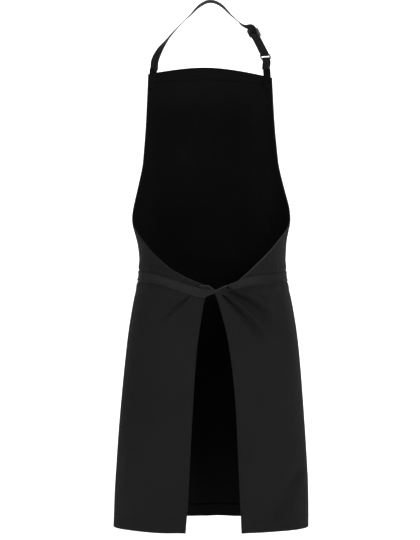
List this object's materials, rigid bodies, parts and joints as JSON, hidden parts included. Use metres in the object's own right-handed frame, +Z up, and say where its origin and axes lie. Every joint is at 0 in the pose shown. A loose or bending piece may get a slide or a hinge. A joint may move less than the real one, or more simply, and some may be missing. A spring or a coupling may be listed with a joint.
{
  "type": "protective bib apron",
  "caption": "Long wrap-round bib apron in dark cloth, open at the back, with an adjustable neck strap and waist ties that cross behind and tie in front.",
  "frame": {"origin": "the middle of the waist opening, level with the waist ties at the sides", "axes": "+Z up to the neck strap, +Y to the wearer's front, +X to the wearer's right"},
  "size_m": [0.3688, 0.2337, 0.9907],
  "materials": {
    "shell_fabric": "matte charcoal-black twill",
    "lining_fabric": "matte black plain weave",
    "tie_fabric": "matte charcoal-black twill, folded and stitched",
    "webbing": "black woven webbing with a slight sheen",
    "thread": "black polyester thread",
    "buckle_plastic": "satin black moulded plastic"
  },
  "bodies": {
    "apron": {"front_panel": "shell_fabric", "front_lining": "lining_fabric", "left_back_panel": "shell_fabric", "right_back_panel": "shell_fabric", "left_back_lining": "lining_fabric", "right_back_lining": "lining_fabric", "bib_top_hem": "shell_fabric", "left_arm_binding": "shell_fabric", "right_arm_binding": "shell_fabric", "front_bottom_hem": "shell_fabric", "left_bottom_hem": "shell_fabric", "right_bottom_hem": "shell_fabric", "left_strap_anchor": "webbing", "right_tab_anchor": "webbing", "strap_bartacks": "thread", "left_waist_tie": "tie_fabric", "right_waist_tie": "tie_fabric", "tie_crossing": "tie_fabric", "tie_bartacks": "thread", "front_knot": "tie_fabric"},
    "left_flap": {"left_flap_panel": "shell_fabric", "left_flap_lining": "lining_fabric", "left_vent_hem": "shell_fabric", "left_flap_hem": "shell_fabric"},
    "right_flap": {"right_flap_panel": "shell_fabric", "right_flap_lining": "lining_fabric", "right_vent_hem": "shell_fabric", "right_flap_hem": "shell_fabric"},
    "neck_strap": {"neck_strap": "webbing", "neck_strap_return": "webbing", "ring_tab": "webbing"},
    "adjuster_ring": {"adjuster_ring": "buckle_plastic"},
    "adjuster_slider": {"adjuster_slider": "buckle_plastic", "strap_end_fold": "webbing"},
    "left_bow_loop": {"left_bow_loop": "tie_fabric"},
    "right_bow_loop": {"right_bow_loop": "tie_fabric"},
    "left_tie_tail": {"left_tie_tail": "tie_fabric"},
    "right_tie_tail": {"right_tie_tail": "tie_fabric"}
  },
  "joints": [
    {"name": "left_flap_fold", "type": "hinge", "parent": "apron", "child": "left_flap", "pos_m": [-0.07088, -0.08052, -0.2625], "axis": [-0.2171, 0.066, -0.9739], "range_deg": [0, 60]},
    {"name": "right_flap_fold", "type": "hinge", "parent": "apron", "child": "right_flap", "pos_m": [0.07088, -0.08052, -0.2625], "axis": [-0.2171, -0.066, 0.9739], "range_deg": [0, 60]},
    {"name": "neck_strap_fold", "type": "hinge", "parent": "apron", "child": "neck_strap", "pos_m": [0, 0.06884, 0.4], "axis": [-1, 0, 0], "range_deg": [0, 120]},
    {"name": "ring_tilt", "type": "hinge", "parent": "neck_strap", "child": "adjuster_ring", "pos_m": [0.10756, 0.04985, 0.41782], "axis": [0.8739, -0.4858, 0.0136], "range_deg": [-2.5, 2.5]},
    {"name": "slider_slide", "type": "slide", "parent": "neck_strap", "child": "adjuster_slider", "axis": [0.3852, 0.6752, -0.6291], "range_m": [0, 0.028], "deforming": ["neck_strap_return"]},
    {"name": "left_loop_lift", "type": "hinge", "parent": "apron", "child": "left_bow_loop", "pos_m": [0, 0.1153, 0], "axis": [0, 1, 0], "range_deg": [0, 35]},
    {"name": "right_loop_lift", "type": "hinge", "parent": "apron", "child": "right_bow_loop", "pos_m": [0, 0.1153, 0], "axis": [0, -1, 0], "range_deg": [0, 35]},
    {"name": "left_tail_swing", "type": "hinge", "parent": "apron", "child": "left_tie_tail", "pos_m": [-0.0115, 0.1203, -0.013], "axis": [1, 0, 0], "range_deg": [0, 60]},
    {"name": "right_tail_swing", "type": "hinge", "parent": "apron", "child": "right_tie_tail", "pos_m": [0.0115, 0.1203, -0.013], "axis": [1, 0, 0], "range_deg": [0, 60]}
  ]
}
